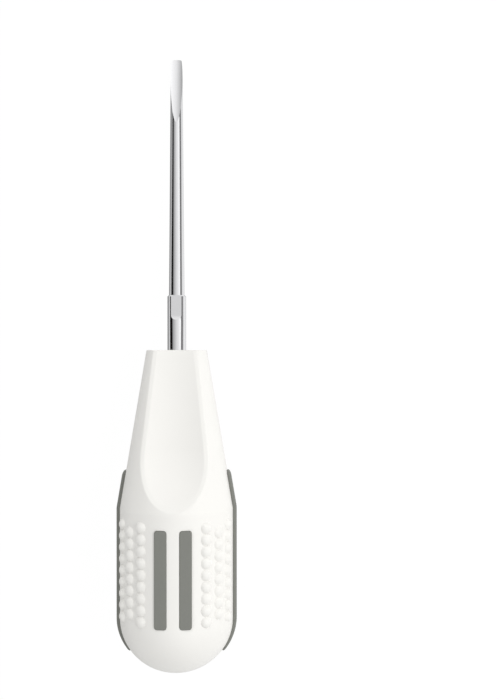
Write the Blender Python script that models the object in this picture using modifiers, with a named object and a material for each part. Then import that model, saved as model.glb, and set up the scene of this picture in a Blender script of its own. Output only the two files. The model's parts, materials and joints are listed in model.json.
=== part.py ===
"""Periotome: a hollow-ground steel blade held in a moulded grip handle with soft inlays.

The instrument is modelled upright on its own axis, blade up, with the neck face of the
handle at height 0 and the front thumb scoop facing -Y. All sizes are metres. An empty then
lays it on its back, as it rests on a table: on the upper end of its grip and on the tip of
the blade, with the origin on the table under the middle of the instrument.
"""
from math import asin, atan2, cos, pi, radians, sin, sqrt

import bmesh
import bpy
from mathutils import Matrix, Vector

MM = 0.001

# Handle outline, from the neck face down
NECK_RADIUS = 6.57 * MM
NECK_CHAMFER = 0.25 * MM
CONE_LENGTH = 34.15 * MM
GRIP_RADIUS = 12.35 * MM
GRIP_LENGTH = 23.8 * MM
DOME_LENGTH = 11.85 * MM
HANDLE_SIDES = 64
DOME_RINGS = 15

# Thumb scoops, one on the front and one on the back, each with a sloping lip around it
SCOOP_NECK_HALF_WIDTH = 4.7 * MM
SCOOP_HALF_WIDTH = 7.0 * MM
SCOOP_END_LENGTH = 13.0 * MM
SCOOP_SHORT_OF_GRIP = 0.35 * MM
SCOOP_NECK_FLOOR = 4.35 * MM
SCOOP_WIDEST_FLOOR = 6.4 * MM
SCOOP_LIP_WIDTH = 0.86 * MM
SCOOP_LIP_DROP = 0.68 * MM
SCOOP_END_LIP_DROP = 0.41 * MM
SCOOP_FLOOR_STEPS = 4
SCOOP_SIDE_STEPS = 4
SCOOP_END_STEPS = 10

# Nubs that stand on the grip in staggered columns
NUB_RADIUS = 1.4 * MM
NUB_HEIGHT = 0.72 * MM
NUB_PITCH = 2.46 * MM
NUB_FIRST = 2.9 * MM
NUB_COUNT = 9
NUB_COLUMNS = (radians(33.8), radians(49.2), radians(65.0))
NUB_SIDES = 12
NUB_RINGS = 5

# Soft inlay bars with flat tops, two on the front and two on the back
BAR_WIDTH = 2.54 * MM
BAR_LENGTH = 20.4 * MM
BAR_FIRST = 3.26 * MM
BAR_ANGLE = radians(12.3)
BAR_LEAN = radians(4.0)
BAR_CORNER = 0.55 * MM
BAR_PROUD = 0.24 * MM
BAR_THICKNESS = 1.0 * MM

# Soft strips along both sides of the handle
STRIP_WIDTH = 3.1 * MM
STRIP_ON_CONE = 8.05 * MM
STRIP_ON_DOME = 7.35 * MM
STRIP_PROUD = 0.73 * MM
STRIP_END_PROUD = 0.5 * MM
STRIP_CORNER = 0.65 * MM
STRIP_POCKET_DEPTH = 1.0 * MM

# Gap between a piece and the pocket or socket that holds it
FIT_GAP = 0.3 * MM

# Steel blade: tang in the handle, collar, tapered shaft and hollow-ground tip
TANG_LENGTH = 32.0 * MM
TANG_FLAT_LENGTH = 12.0 * MM
TANG_FLAT_HEIGHT = 1.45 * MM
COLLAR_RADIUS = 2.04 * MM
COLLAR_LENGTH = 11.9 * MM
COLLAR_CHAMFER = 0.25 * MM
FLAT_HEIGHT = 1.7 * MM
FLAT_LENGTH = 4.3 * MM
FLAT_RUNOUT_RADIUS = 1.75 * MM
FLAT_RUNOUT_TURN = radians(72.0)
SHAFT_ROOT_RADIUS = 1.69 * MM
SHAFT_END_RADIUS = 1.39 * MM
SHAFT_LENGTH = 36.1 * MM
BLADE_LENGTH = 15.55 * MM
TIP_RADIUS = 1.34 * MM
TIP_ROUND = 0.4 * MM
TIP_BULGE = 0.08 * MM
TIP_THICKNESS = 0.47 * MM
HOLLOW_LENGTH = 14.15 * MM
HOLLOW_RADIUS = 3.5 * MM
STEEL_SIDES = 32

ROUND_STEPS = 4
CLEAR = 2.0 * MM
WELD = 0.001 * MM

GRIP_TOP = -CONE_LENGTH
GRIP_BOTTOM = GRIP_TOP - GRIP_LENGTH
HANDLE_BOTTOM = GRIP_BOTTOM - DOME_LENGTH
SHAFT_TOP = COLLAR_LENGTH + SHAFT_LENGTH
TIP_TOP = SHAFT_TOP + BLADE_LENGTH
FRONT = 0.0
RIGHT = pi / 2
BACK = pi
LEFT = -pi / 2


def clear_scene():
    for item in list(bpy.data.objects):
        bpy.data.objects.remove(item, do_unlink=True)


def make_collection(name):
    collection = bpy.data.collections.new(name)
    bpy.context.scene.collection.children.link(collection)
    return collection


clear_scene()
PARTS = make_collection("periotome")
CUTTERS = make_collection("periotome_cutters")
AXIS = bpy.data.objects.new("instrument_axis", None)
PARTS.objects.link(AXIS)


def make_material(name, color, roughness, metallic):
    material = bpy.data.materials.new(name)
    material.use_nodes = True
    shader = material.node_tree.nodes["Principled BSDF"]
    shader.inputs["Base Color"].default_value = (*color, 1.0)
    shader.inputs["Roughness"].default_value = roughness
    shader.inputs["Metallic"].default_value = metallic
    material.diffuse_color = (*color, 1.0)
    return material


def place(name, mesh, matrix=None):
    """Put a mesh on the instrument's axis as a new object."""
    item = bpy.data.objects.new(name, mesh)
    CUTTERS.objects.link(item)
    item.parent = AXIS
    item.matrix_local = matrix or Matrix.Identity(4)
    item.hide_render = True
    item.display_type = "WIRE"
    return item


def show(item, material):
    """Turn a helper into a visible sub-part of the instrument."""
    CUTTERS.objects.unlink(item)
    PARTS.objects.link(item)
    item.hide_render = False
    item.display_type = "TEXTURED"
    item.data.materials.clear()
    item.data.materials.append(material)
    item.data.shade_smooth()
    item.data.set_sharp_from_angle(angle=radians(30))
    return item


def combine(target, operand, operation):
    modifier = target.modifiers.new(operand.name, "BOOLEAN")
    modifier.solver = "EXACT"
    modifier.operation = operation
    modifier.object = operand


def mesh_from(bm, name):
    mesh = bpy.data.meshes.new(name)
    bmesh.ops.recalc_face_normals(bm, faces=bm.faces)
    bm.to_mesh(mesh)
    bm.free()
    return mesh


def turned(name, profile, sides, start=0.0):
    """Turn a profile of (radius, height) points, given top to bottom, about the axis."""
    mesh = bpy.data.meshes.new(name)
    edges = [(index, index + 1) for index in range(len(profile) - 1)]
    mesh.from_pydata([(radius, 0.0, height) for radius, height in profile], edges, [])
    item = place(name, mesh, Matrix.Rotation(start, 4, "Z"))
    screw = item.modifiers.new("turn", "SCREW")
    screw.axis = "Z"
    screw.steps = sides
    screw.render_steps = sides
    screw.use_merge_vertices = True
    screw.merge_threshold = WELD
    screw.use_smooth_shade = True
    return item


def extruded(name, outline, thickness, matrix):
    """Give a flat outline of (x, y) points a thickness and stand it on a frame."""
    curve = bpy.data.curves.new(name, "CURVE")
    curve.dimensions = "2D"
    curve.fill_mode = "BOTH"
    curve.extrude = thickness / 2
    spline = curve.splines.new("POLY")
    spline.points.add(len(outline) - 1)
    for point, (x, y) in zip(spline.points, outline):
        point.co = (x, y, 0.0, 1.0)
    spline.use_cyclic_u = True
    source = bpy.data.objects.new(name + "_outline", curve)
    CUTTERS.objects.link(source)
    bpy.context.view_layer.update()
    graph = bpy.context.evaluated_depsgraph_get()
    mesh = bpy.data.meshes.new_from_object(source.evaluated_get(graph))
    bpy.data.objects.remove(source, do_unlink=True)
    bm = bmesh.new()
    bm.from_mesh(mesh)
    bpy.data.meshes.remove(mesh)
    bmesh.ops.remove_doubles(bm, verts=bm.verts, dist=WELD)
    return place(name, mesh_from(bm, name), matrix)


def outward(angle):
    """Direction away from the axis at an angle from the front towards the right."""
    return Vector((sin(angle), -cos(angle), 0.0))


def columns(x_axis, y_axis, z_axis, origin):
    matrix = Matrix((x_axis, y_axis, z_axis)).transposed().to_4x4()
    matrix.translation = origin
    return matrix


def facing(angle, distance=0.0):
    """Frame on the handle's side: X around it, Y up it and Z straight out."""
    out = outward(angle)
    up = Vector((0.0, 0.0, 1.0))
    return columns(up.cross(out), up, out, out * distance)


def meridian(angle):
    """Frame of a cut through the axis: X straight out, Y up and Z across."""
    out = outward(angle)
    up = Vector((0.0, 0.0, 1.0))
    return columns(out, up, out.cross(up), Vector((0.0, 0.0, 0.0)))


def arc(center_x, center_y, radius, start, end, steps=ROUND_STEPS):
    angles = [start + (end - start) * index / steps for index in range(steps + 1)]
    return [(center_x + radius * cos(a), center_y + radius * sin(a)) for a in angles]


def rounded_rectangle(half_width, bottom, top, radius):
    x = half_width - radius
    corners = ((x, bottom + radius), (x, top - radius), (-x, top - radius), (-x, bottom + radius))
    points = []
    for index, (center_x, center_y) in enumerate(corners):
        start = (index - 1) * pi / 2
        points += arc(center_x, center_y, radius, start, start + pi / 2)
    return points


def surface_radius(height):
    """Radius of the handle's turned surface at a height on its axis."""
    if height > GRIP_TOP:
        return NECK_RADIUS + (GRIP_RADIUS - NECK_RADIUS) * height / GRIP_TOP
    if height > GRIP_BOTTOM:
        return GRIP_RADIUS
    part = min(1.0, (GRIP_BOTTOM - height) / DOME_LENGTH)
    return GRIP_RADIUS * sqrt(1.0 - part * part)


def dome_heights(last):
    """Heights of the dome's rings, evenly spaced around its oval, down to a last height."""
    turn = asin(min(1.0, (GRIP_BOTTOM - last) / DOME_LENGTH))
    steps = max(2, round(DOME_RINGS * turn / (pi / 2)))
    return [GRIP_BOTTOM - DOME_LENGTH * sin(turn * step / steps) for step in range(1, steps + 1)]


def turned_handle():
    """Solid handle, turned so that a facet, and not an edge, lies on the table."""
    profile = [
        (0.0, 0.0),
        (NECK_RADIUS - NECK_CHAMFER, 0.0),
        (surface_radius(-NECK_CHAMFER), -NECK_CHAMFER),
        (GRIP_RADIUS, GRIP_TOP),
        (GRIP_RADIUS, GRIP_BOTTOM),
    ]
    profile += [(surface_radius(height), height) for height in dome_heights(HANDLE_BOTTOM)]
    return turned("handle_body", profile, HANDLE_SIDES, pi / HANDLE_SIDES)


SCOOP_BOTTOM = GRIP_TOP + SCOOP_SHORT_OF_GRIP
SCOOP_WIDEST = SCOOP_BOTTOM + SCOOP_END_LENGTH
SCOOP_FLOOR_END_LENGTH = SCOOP_END_LENGTH - SCOOP_LIP_WIDTH
SCOOP_FAN = 0.45
SCOOP_LAST_TURN = radians(64.0)
SCOOP_OVERRUN = 2.2


def scoop_side(height, inset):
    """Half width of the scoop where its sides are straight, moved inwards by an inset."""
    widening = (SCOOP_HALF_WIDTH - SCOOP_NECK_HALF_WIDTH) / SCOOP_WIDEST
    return SCOOP_NECK_HALF_WIDTH + widening * height - inset


def scoop_edge(inset):
    """Points (x, height) down one side of the scoop's outline, moved inwards by an inset."""
    points = []
    for step in range(SCOOP_SIDE_STEPS):
        height = CLEAR + (SCOOP_WIDEST - CLEAR) * step / SCOOP_SIDE_STEPS
        points.append((scoop_side(height, inset), height))
    for turn in [pi / 2 * step / SCOOP_END_STEPS for step in range(SCOOP_END_STEPS)]:
        height = SCOOP_WIDEST - (SCOOP_END_LENGTH - inset) * sin(turn)
        points.append((scoop_side(height, inset) * cos(turn), height))
    return points + [(0.0, SCOOP_BOTTOM + inset)]


def scoop_end_part(height):
    """How far a height lies into the rounded end of the scoop's floor, from 0 to 1."""
    return max(0.0, (SCOOP_WIDEST - height) / SCOOP_FLOOR_END_LENGTH)


def scoop_lip_drop(part):
    """Depth of the lip's inner edge below the handle's turned surface."""
    return SCOOP_LIP_DROP + (SCOOP_END_LIP_DROP - SCOOP_LIP_DROP) * part * part


def scoop_floor(height):
    """Distance of the scoop's deepest line from the axis."""
    slope = (SCOOP_WIDEST_FLOOR - SCOOP_NECK_FLOOR) / SCOOP_WIDEST
    end = SCOOP_WIDEST - SCOOP_FLOOR_END_LENGTH
    rise = surface_radius(end) - scoop_lip_drop(1.0) - SCOOP_NECK_FLOOR - slope * end
    return SCOOP_NECK_FLOOR + slope * height + rise * scoop_end_part(height) ** 2


def scoop_surface(x, height):
    """Distance of the scoop's hollow surface in front of the axis at a place in its plan."""
    turn = min(SCOOP_LAST_TURN, asin(min(1.0, scoop_end_part(height))))
    level = max(height, SCOOP_WIDEST - SCOOP_FLOOR_END_LENGTH * sin(turn))
    half_width = scoop_side(level, SCOOP_LIP_WIDTH) * cos(turn)
    edge = sqrt(surface_radius(level) ** 2 - half_width ** 2) - scoop_lip_drop(sin(turn))
    curl = (edge - scoop_floor(level)) / half_width ** 2
    return scoop_floor(height) + curl * x * x


def scoop_cutter(name, angle):
    """Hollow of a thumb scoop, as half a solid that a mirror completes.

    Each row runs from the middle line of the hollow to the lip's inner edge, then up the lip
    and out of the handle, and last straight up to a lid that is clear of the handle.
    """
    lid = GRIP_RADIUS + CLEAR
    bm = bmesh.new()
    rows = []
    for inner, outer in zip(scoop_edge(SCOOP_LIP_WIDTH), scoop_edge(0.0)):
        fan = SCOOP_FAN * max(0.0, SCOOP_WIDEST - inner[1])
        spine = Vector((0.0, inner[1] + fan))
        row = []
        for step in range(SCOOP_FLOOR_STEPS + 1):
            plan = spine.lerp(Vector(inner), step / SCOOP_FLOOR_STEPS)
            row.append(bm.verts.new((plan.x, -scoop_surface(plan.x, plan.y), plan.y)))
        depth = sqrt(surface_radius(outer[1]) ** 2 - outer[0] ** 2)
        over = row[-1].co.lerp(Vector((outer[0], -depth, outer[1])), SCOOP_OVERRUN)
        row.append(bm.verts.new(over))
        row.append(bm.verts.new((over.x, -max(lid, -over.y + CLEAR), over.z)))
        rows.append(row)
    for first, second in zip(rows, rows[1:]):
        for index in range(len(first) - 1):
            bm.faces.new((first[index], first[index + 1], second[index + 1], second[index]))
    corner = bm.verts.new((0.0, rows[0][-1].co.y, rows[0][-1].co.z))
    bm.faces.new(rows[0] + [corner])
    bm.faces.new([corner] + [row[-1] for row in rows])
    item = place(name, mesh_from(bm, name), Matrix.Rotation(angle, 4, "Z"))
    mirror = item.modifiers.new("other_half", "MIRROR")
    mirror.use_axis = (True, False, False)
    mirror.merge_threshold = WELD
    return item


def bar_outline(grow):
    """Plan of a bar, or of its pocket where it is grown: a rounded rectangle."""
    top = GRIP_TOP - BAR_FIRST
    bottom = top - BAR_LENGTH
    return rounded_rectangle(BAR_WIDTH / 2 + grow, bottom - grow, top + grow, BAR_CORNER + grow)


def bar_frame(side, hand, level):
    """Frame of one bar's plan, a level above the grip, with Z leaning from the face's middle."""
    frame = facing(side + hand * BAR_LEAN)
    place_on_grip = outward(side + hand * BAR_ANGLE) * GRIP_RADIUS
    frame.translation = place_on_grip + outward(side + hand * BAR_LEAN) * level
    return frame


def bar_block(name, side, hand, grow, top):
    """Flat block of a bar or of its pocket, from its floor in the grip up to a top level."""
    bottom = BAR_PROUD - BAR_THICKNESS - grow
    frame = bar_frame(side, hand, (top + bottom) / 2)
    return extruded(name, bar_outline(grow), top - bottom, frame)


def strip_profile(grow):
    """Outline (radius, height) of a side strip, which follows the handle's outline."""
    top = GRIP_TOP + STRIP_ON_CONE
    bottom = GRIP_BOTTOM - STRIP_ON_DOME
    depth = STRIP_POCKET_DEPTH - FIT_GAP + grow
    slope = (GRIP_RADIUS - NECK_RADIUS) / CONE_LENGTH

    def proud(height):
        part = (GRIP_BOTTOM - height) / STRIP_ON_DOME
        return STRIP_PROUD + (STRIP_END_PROUD - STRIP_PROUD) * part

    heights = [GRIP_BOTTOM] + dome_heights(bottom)
    outer = [(surface_radius(height) + proud(height), height) for height in heights]
    inner = [(surface_radius(height) - depth, height) for height in heights]
    head_x = surface_radius(top) + STRIP_PROUD - STRIP_CORNER
    head = arc(head_x, top - STRIP_CORNER, STRIP_CORNER, pi / 2, atan2(-slope, 1.0))
    points = [(surface_radius(top) - depth, top + grow)]
    points += [(x, y + grow) for x, y in head[:-1]] + [head[-1]]
    points.append((GRIP_RADIUS + STRIP_PROUD, GRIP_TOP))
    points += outer[:-1]
    points += [(outer[-1][0], bottom - grow), (inner[-1][0], bottom - grow)]
    points += list(reversed(inner[:-1])) + [(GRIP_RADIUS - depth, GRIP_TOP)]
    return points


def strip_solid(name, angle, grow):
    """Side strip, or its pocket where it is grown: its profile cut to a rounded plan."""
    item = extruded(name, strip_profile(grow), STRIP_WIDTH + 2 * CLEAR, meridian(angle))
    plan = rounded_rectangle(
        STRIP_WIDTH / 2 + grow,
        GRIP_BOTTOM - STRIP_ON_DOME - grow,
        GRIP_TOP + STRIP_ON_CONE + grow,
        STRIP_CORNER + grow,
    )
    block = extruded(name + "_plan", plan, 2 * GRIP_RADIUS, facing(angle, GRIP_RADIUS))
    combine(item, block, "INTERSECT")
    return item


def nub_columns(side):
    """Angle of each column of nubs on one face of the handle, with its count and top."""
    for index, angle in enumerate(NUB_COLUMNS):
        staggered = index % 2
        count = NUB_COUNT - staggered
        first = GRIP_TOP - NUB_FIRST - staggered * NUB_PITCH / 2
        for hand in (-1, 1):
            yield side + hand * angle, count, first


def nub_field():
    """All nubs as round beads, sunk in the grip so that only their caps show."""
    bm = bmesh.new()
    for side in (FRONT, BACK):
        for angle, count, first in nub_columns(side):
            for index in range(count):
                frame = facing(angle, GRIP_RADIUS + NUB_HEIGHT - NUB_RADIUS)
                frame.translation.z = first - index * NUB_PITCH
                bmesh.ops.create_uvsphere(
                    bm,
                    u_segments=NUB_SIDES,
                    v_segments=NUB_RINGS,
                    radius=NUB_RADIUS,
                    matrix=frame,
                )
    return place("nub_field", mesh_from(bm, "nub_field"))


def tang_flats(item, grow):
    """Two flats near the tang's end, which stop the blade from turning in the handle."""
    bottom = -TANG_LENGTH - CLEAR
    top = -TANG_LENGTH + TANG_FLAT_LENGTH - grow
    near = TANG_FLAT_HEIGHT + grow
    far = COLLAR_RADIUS + CLEAR
    outline = [(near, bottom), (far, bottom), (far, top), (near, top)]
    for side, angle in (("front", FRONT), ("back", BACK)):
        name = f"{item.name}_flat_{side}"
        combine(item, extruded(name, outline, 4 * far, meridian(angle)), "DIFFERENCE")


def blade_socket():
    """Hole down the handle that holds the tang, open at the neck."""
    radius = COLLAR_RADIUS + FIT_GAP
    bottom = -TANG_LENGTH - FIT_GAP
    profile = [(0.0, CLEAR), (radius, CLEAR), (radius, bottom), (0.0, bottom)]
    socket = turned("blade_socket", profile, STEEL_SIDES)
    tang_flats(socket, FIT_GAP)
    return socket


def make_handle(material):
    handle = turned_handle()
    combine(handle, blade_socket(), "DIFFERENCE")
    for side, angle in (("front", FRONT), ("back", BACK)):
        combine(handle, scoop_cutter(f"{side}_scoop", angle), "DIFFERENCE")
    for name, side, hand in bar_places():
        pocket = bar_block(f"{name}_pocket", side, hand, FIT_GAP, CLEAR)
        combine(handle, pocket, "DIFFERENCE")
    for name, angle in strip_places():
        combine(handle, strip_solid(f"{name}_pocket", angle, FIT_GAP), "DIFFERENCE")
    combine(handle, nub_field(), "UNION")
    return show(handle, material)


def bar_places():
    """Name of each bar, the face it is on and the way it lies from that face's middle."""
    return (
        ("front_inlay_left", FRONT, -1),
        ("front_inlay_right", FRONT, 1),
        ("back_inlay_left", BACK, 1),
        ("back_inlay_right", BACK, -1),
    )


def strip_places():
    return (("side_strip_left", LEFT), ("side_strip_right", RIGHT))


def make_inlays(material):
    for name, side, hand in bar_places():
        show(bar_block(name, side, hand, 0.0, BAR_PROUD), material)
    for name, angle in strip_places():
        show(strip_solid(name, angle, 0.0), material)


def blade_profile():
    """Outline of the whole steel piece from the tip down to the end of the tang."""
    tip = arc(
        TIP_RADIUS - TIP_ROUND, TIP_TOP - TIP_BULGE - TIP_ROUND, TIP_ROUND, pi / 2, 0.0
    )
    return [
        (0.0, TIP_TOP),
        *tip,
        (SHAFT_END_RADIUS, SHAFT_TOP),
        (SHAFT_ROOT_RADIUS, COLLAR_LENGTH),
        (COLLAR_RADIUS - COLLAR_CHAMFER, COLLAR_LENGTH),
        (COLLAR_RADIUS, COLLAR_LENGTH - COLLAR_CHAMFER),
        (COLLAR_RADIUS, -TANG_LENGTH + COLLAR_CHAMFER),
        (COLLAR_RADIUS - COLLAR_CHAMFER, -TANG_LENGTH),
        (0.0, -TANG_LENGTH),
    ]


def collar_flat(name, angle):
    """Milled flat below the collar's shoulder, with the cutter's round run-out."""
    end = COLLAR_LENGTH - FLAT_LENGTH
    far = FLAT_HEIGHT + FLAT_RUNOUT_RADIUS
    runout = arc(far, end, FLAT_RUNOUT_RADIUS, pi, pi + FLAT_RUNOUT_TURN, 2 * ROUND_STEPS)
    top = COLLAR_LENGTH + CLEAR
    outline = [(FLAT_HEIGHT, top), *runout, (far, runout[-1][1]), (far, top)]
    return extruded(name, outline, 4 * COLLAR_RADIUS, meridian(angle))


def blade_hollow():
    """Round grinding cut that slopes into the front of the blade and opens at its tip."""
    start = TIP_TOP - HOLLOW_LENGTH
    part = (start - SHAFT_TOP) / BLADE_LENGTH
    surface = SHAFT_END_RADIUS + (TIP_RADIUS - SHAFT_END_RADIUS) * part
    floor_top = Vector((0.0, TIP_RADIUS - TIP_THICKNESS, TIP_TOP))
    floor_start = Vector((0.0, -surface, start))
    slope = (floor_top - floor_start).normalized()
    across = Vector((1.0, 0.0, 0.0))
    center = (floor_start + floor_top) / 2 + across.cross(slope) * HOLLOW_RADIUS
    bm = bmesh.new()
    bmesh.ops.create_cone(
        bm,
        cap_ends=True,
        segments=2 * STEEL_SIDES,
        radius1=HOLLOW_RADIUS,
        radius2=HOLLOW_RADIUS,
        depth=2 * (HOLLOW_LENGTH + CLEAR),
    )
    frame = columns(across, slope.cross(across), slope, center)
    return place("blade_hollow", mesh_from(bm, "blade_hollow"), frame)


def make_blade(material):
    blade = turned("blade", blade_profile(), STEEL_SIDES)
    for side, angle in (("front", FRONT), ("back", BACK)):
        combine(blade, collar_flat(f"collar_flat_{side}", angle), "DIFFERENCE")
    tang_flats(blade, 0.0)
    combine(blade, blade_hollow(), "DIFFERENCE")
    return show(blade, material)


def rest_tilt():
    """Angle, nose down, at which the grip's upper end and the blade's tip touch a table."""
    tip_end = TIP_TOP - TIP_BULGE - TIP_ROUND
    grip_facet = GRIP_RADIUS * cos(pi / HANDLE_SIDES)
    return atan2(grip_facet - TIP_RADIUS, tip_end - GRIP_TOP)


def lay_down(parts):
    """Lay the instrument on its back, with its lowest points on the table at Z = 0."""
    AXIS.rotation_euler = (-pi / 2 - rest_tilt(), 0.0, 0.0)
    bpy.context.view_layer.update()
    graph = bpy.context.evaluated_depsgraph_get()
    corners = []
    for item in parts:
        solid = item.evaluated_get(graph)
        corners += [solid.matrix_world @ vertex.co for vertex in solid.data.vertices]
    low = [min(corner[axis] for corner in corners) for axis in range(3)]
    high = [max(corner[axis] for corner in corners) for axis in range(3)]
    AXIS.location = (-(low[0] + high[0]) / 2, -(low[1] + high[1]) / 2, -low[2])
    bpy.context.view_layer.update()


def main():
    plastic = make_material("handle_plastic", (0.87, 0.86, 0.83), 0.45, 0.0)
    rubber = make_material("grip_rubber", (0.216, 0.223, 0.198), 0.6, 0.0)
    steel = make_material("blade_steel", (0.75, 0.75, 0.75), 0.12, 1.0)
    make_handle(plastic)
    make_inlays(rubber)
    make_blade(steel)
    lay_down([item for item in PARTS.objects if item.type == "MESH"])


main()
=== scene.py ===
"""Looks of the periotome: fine meshes, materials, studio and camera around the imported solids.

Lengths are millimetres in the instrument's own frame, unless a name says otherwise. A point
there is (x, q, s): x to the right of the axis, q to the front of it, where the thumb scoop
is, and s along it, from the handle's neck face towards the dome. The blade is at negative s.
"""
import json
from math import pi, radians

import bmesh
import bpy
import numpy as np
from mathutils import Matrix, Vector

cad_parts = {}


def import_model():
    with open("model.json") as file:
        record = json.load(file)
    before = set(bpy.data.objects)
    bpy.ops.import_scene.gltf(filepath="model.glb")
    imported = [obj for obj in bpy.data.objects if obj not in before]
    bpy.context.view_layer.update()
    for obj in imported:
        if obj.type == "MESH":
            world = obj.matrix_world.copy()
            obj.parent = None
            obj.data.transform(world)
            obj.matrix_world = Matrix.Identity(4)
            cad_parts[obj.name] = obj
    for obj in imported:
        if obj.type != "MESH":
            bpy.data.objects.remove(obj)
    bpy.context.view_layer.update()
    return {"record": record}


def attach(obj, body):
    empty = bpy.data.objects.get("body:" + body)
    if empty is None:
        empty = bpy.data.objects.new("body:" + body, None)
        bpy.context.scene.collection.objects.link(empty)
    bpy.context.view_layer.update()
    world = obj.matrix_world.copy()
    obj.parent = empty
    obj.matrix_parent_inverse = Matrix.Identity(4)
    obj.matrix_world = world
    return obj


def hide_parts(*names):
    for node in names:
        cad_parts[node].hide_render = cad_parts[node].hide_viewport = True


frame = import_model()

# Handle outline
NECK_RADIUS = 6.57
CONE_LENGTH = 34.15
GRIP_RADIUS = 12.335
GRIP_LENGTH = 23.81
DOME_LENGTH = 11.83
NECK_EDGE = 0.22
CONE_BLEND = 0.2

# Thumb scoops, each with a lip around it
SCOOP_NECK_HALF_WIDTH = 4.7
SCOOP_SPREAD = 0.1113
SCOOP_TURN = 20.8
SCOOP_END = 33.8
SCOOP_NECK_FLOOR = 4.35
SCOOP_FLOOR_SLOPE = 0.0983
SCOOP_LIP = 0.86
SCOOP_LIP_DROP = 0.68
SCOOP_END_LIP_DROP = 0.41
SCOOP_LAST_CURL = 0.9
SCOOP_EDGE = 0.15
SCOOP_FAN = 0.45

# Nubs
NUB_RADIUS = 1.6
NUB_SUNK = 0.88
NUB_END_SQUEEZE = 0.9
NUB_RINGS = 8
NUB_PITCH = 2.46
NUB_COUNT = 9
NUB_FIRST = 37.05
NUB_COLUMNS = (34.0, 49.6, 65.2)
NUB_HALF_CELL = 7.8

# Soft inlays
BAR_ANGLE = 12.3
BAR_LEAN = 4.0
BAR_HALF_WIDTH = 1.27
BAR_SPAN = (37.41, 57.81)
BAR_CORNER = 0.55
BAR_PROUD = 0.24
BAR_EDGE = 0.15
STRIP_HALF_WIDTH = 1.55
STRIP_SPAN = (26.14, 65.02)
STRIP_CORNER = 0.65
STRIP_PROUD = 0.72
STRIP_END_PROUD = 0.46
STRIP_EDGE = 0.25
STRIP_END_ROUND = 1.1
STRIP_END_DROP = 0.32
INLAY_DEPTH = 0.9
POCKET_DEPTH = 1.0
POCKET_GAP = 0.03
POCKET_EDGE = 0.12

# Blade, as heights above the neck face
TANG_LENGTH = 32.0
COLLAR_RADIUS = 2.04
COLLAR_LENGTH = 11.9
COLLAR_CHAMFER = 0.25
FLAT_HEIGHT = 1.7
FLAT_END = 7.6
FLAT_RUNOUT_RADIUS = 1.75
SHAFT_ROOT_RADIUS = 1.69
SHAFT_END_RADIUS = 1.39
SHAFT_TOP = 48.0
TIP_RADIUS = 1.265
TIP_ROUND = 0.4
TIP_TOP = 63.54
TIP_BULGE = 0.08
TIP_FLOOR = -0.87
HOLLOW_START = 49.4
HOLLOW_RADIUS = 3.8
HOLLOW_SHIFT = 0.07
SOCKET_GAP = 0.03

# Mesh lattice of the handle and its inlays
ROW = 0.3125
ROW_TOLERANCE = 0.000001
NUB_STEPS = 8
NUB_SKIRT_STEPS = 2
BAR_STEPS = 12
STRIP_STEPS = 12
CONE_ROWS = 36
DOME_ROWS = 36
BAR_DOME_ROWS = 2
STRIP_CONE_ROWS = 12
STRIP_DOME_ROWS = 18
FLOOR_STEPS = 16
LIP_STEPS = 3
EDGE_STEPS = 4
FLANK_STEPS = 28
NECK_STEPS = 4
NECK_EDGE_STEPS = 3
POCKET_SKIRT_STEPS = 3
POCKET_EDGE_STEPS = 3
INLAY_STEPS = 8
INLAY_EDGE_STEPS = 5
CURVE_SAMPLES = 600
DOME_STEEPEST_PART = 0.99999

# Mesh rings of the blade, as heights or counts
FACE_STEPS = 16
SIDE_STEPS = 28
TANG_RINGS = (-15.0, 0.0, 3.0)
RUNOUT_RINGS = 12
COLLAR_RINGS = (9.0, 10.5)
SHAFT_RINGS = 60
HOLLOW_RINGS = 69
HOLLOW_CROWDING = 1.6
TIP_RINGS = 15
TIP_SEARCH_STEP = 0.0005
EDGE_HALVINGS = 50

# Distances within which points join, and the least angles in degrees of a sharp edge
POINT_MERGE = 0.001
BLADE_MERGE = 0.0005
HANDLE_SHARP_ANGLE = 35
INLAY_SHARP_ANGLE = 50
BLADE_SHARP_ANGLE = 25

DOME_START = CONE_LENGTH + GRIP_LENGTH
BAR_EDGE_ANGLE = NUB_COLUMNS[0] - NUB_HALF_CELL
STRIP_EDGE_ANGLE = NUB_COLUMNS[2] + NUB_HALF_CELL
NUBS_TOP = NUB_FIRST - NUB_PITCH / 2
SCOOP_FLOOR_END = SCOOP_END - SCOOP_LIP
TIP_START = TIP_TOP - TIP_BULGE - TIP_ROUND
MM_PER_METRE = 1000.0


def instrument_frame():
    """Origin in metres and axes (right, front, down the handle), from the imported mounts."""
    mounts = {mount["name"]: mount for mount in frame["record"]["mounts"]}
    blade = Vector(mounts["neck_face"]["axis"]).normalized()
    front = Vector(mounts["collar_flat_front"]["axis"]).normalized()
    right = blade.cross(front).normalized()
    origin = Vector(mounts["neck_face"]["pos_m"])
    origin -= right * origin.dot(right)
    return origin, right, front, -blade


ORIGIN, RIGHT, FRONT, DOWN = instrument_frame()
AXES = np.array([RIGHT, FRONT, DOWN])


def world(points):
    """Instrument points in millimetres as frame points in metres."""
    return np.asarray(points) @ AXES / MM_PER_METRE + np.array(ORIGIN)


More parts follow.
